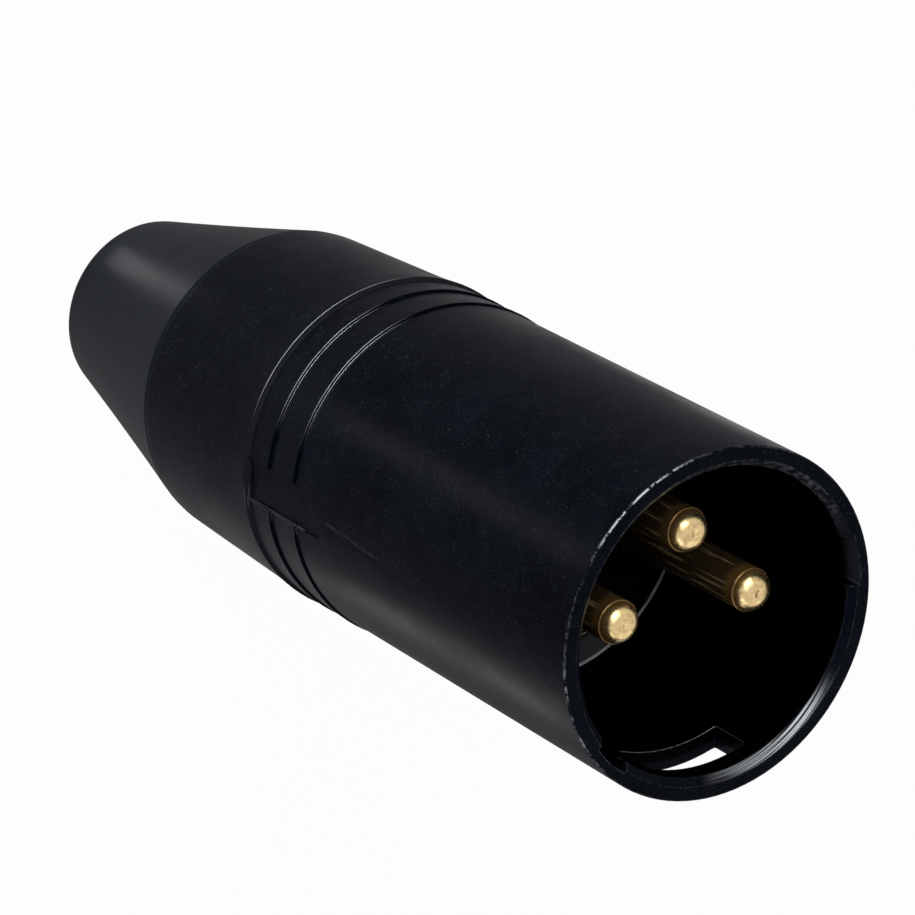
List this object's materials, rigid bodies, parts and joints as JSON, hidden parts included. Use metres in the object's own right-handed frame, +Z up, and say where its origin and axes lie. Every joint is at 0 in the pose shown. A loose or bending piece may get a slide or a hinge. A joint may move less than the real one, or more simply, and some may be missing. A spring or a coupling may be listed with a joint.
{
  "type": "trs to xlr adapter",
  "caption": "Straight audio adapter: round plug end with contact pins in a latched shell, tapering to a small jack socket.",
  "frame": {"origin": "centre of the rear face, where the jack socket opens", "axes": "+Z up the barrel to the open mouth, -Y to the latch window, -X to pin 1"},
  "size_m": [0.0194, 0.0194, 0.0581],
  "materials": {
    "shell_black": "satin black paint, finely speckled, rubbed bright along the ring edges and the rim",
    "boot_black": "smooth moulded dark grey, soft sheen",
    "carrier_black": "moulded black",
    "contact_gold": "polished gold plate",
    "nickel": "bright nickel plate",
    "spring_brass": "plain brass strip",
    "jack_black": "moulded black",
    "wire_red": "plain insulation",
    "wire_white": "plain insulation",
    "wire_black": "plain insulation",
    "shrink_black": "heat-shrink sleeve",
    "liner_clear": "milky plastic",
    "solder": "bright solder"
  },
  "bodies": {
    "root": {"barrel": "shell_black", "rear_boot": "boot_black", "pin_insert": "carrier_black", "pin_1": "contact_gold", "pin_2": "contact_gold", "pin_3": "contact_gold", "shell_ground_spring": "nickel", "jack_bush": "nickel", "jack_housing": "jack_black", "jack_back_cap": "jack_black", "jack_retainer": "carrier_black", "tip_spring": "spring_brass", "ring_spring": "spring_brass", "sleeve_lug": "nickel", "wire_tip": "wire_red", "wire_ring": "wire_white", "wire_sleeve": "wire_black", "cup_sleeve_1": "shrink_black", "cup_sleeve_2": "shrink_black", "cup_sleeve_3": "shrink_black", "insulating_sleeve": "liner_clear", "cup_solder": "solder", "tag_solder": "solder"}
  },
  "joints": []
}
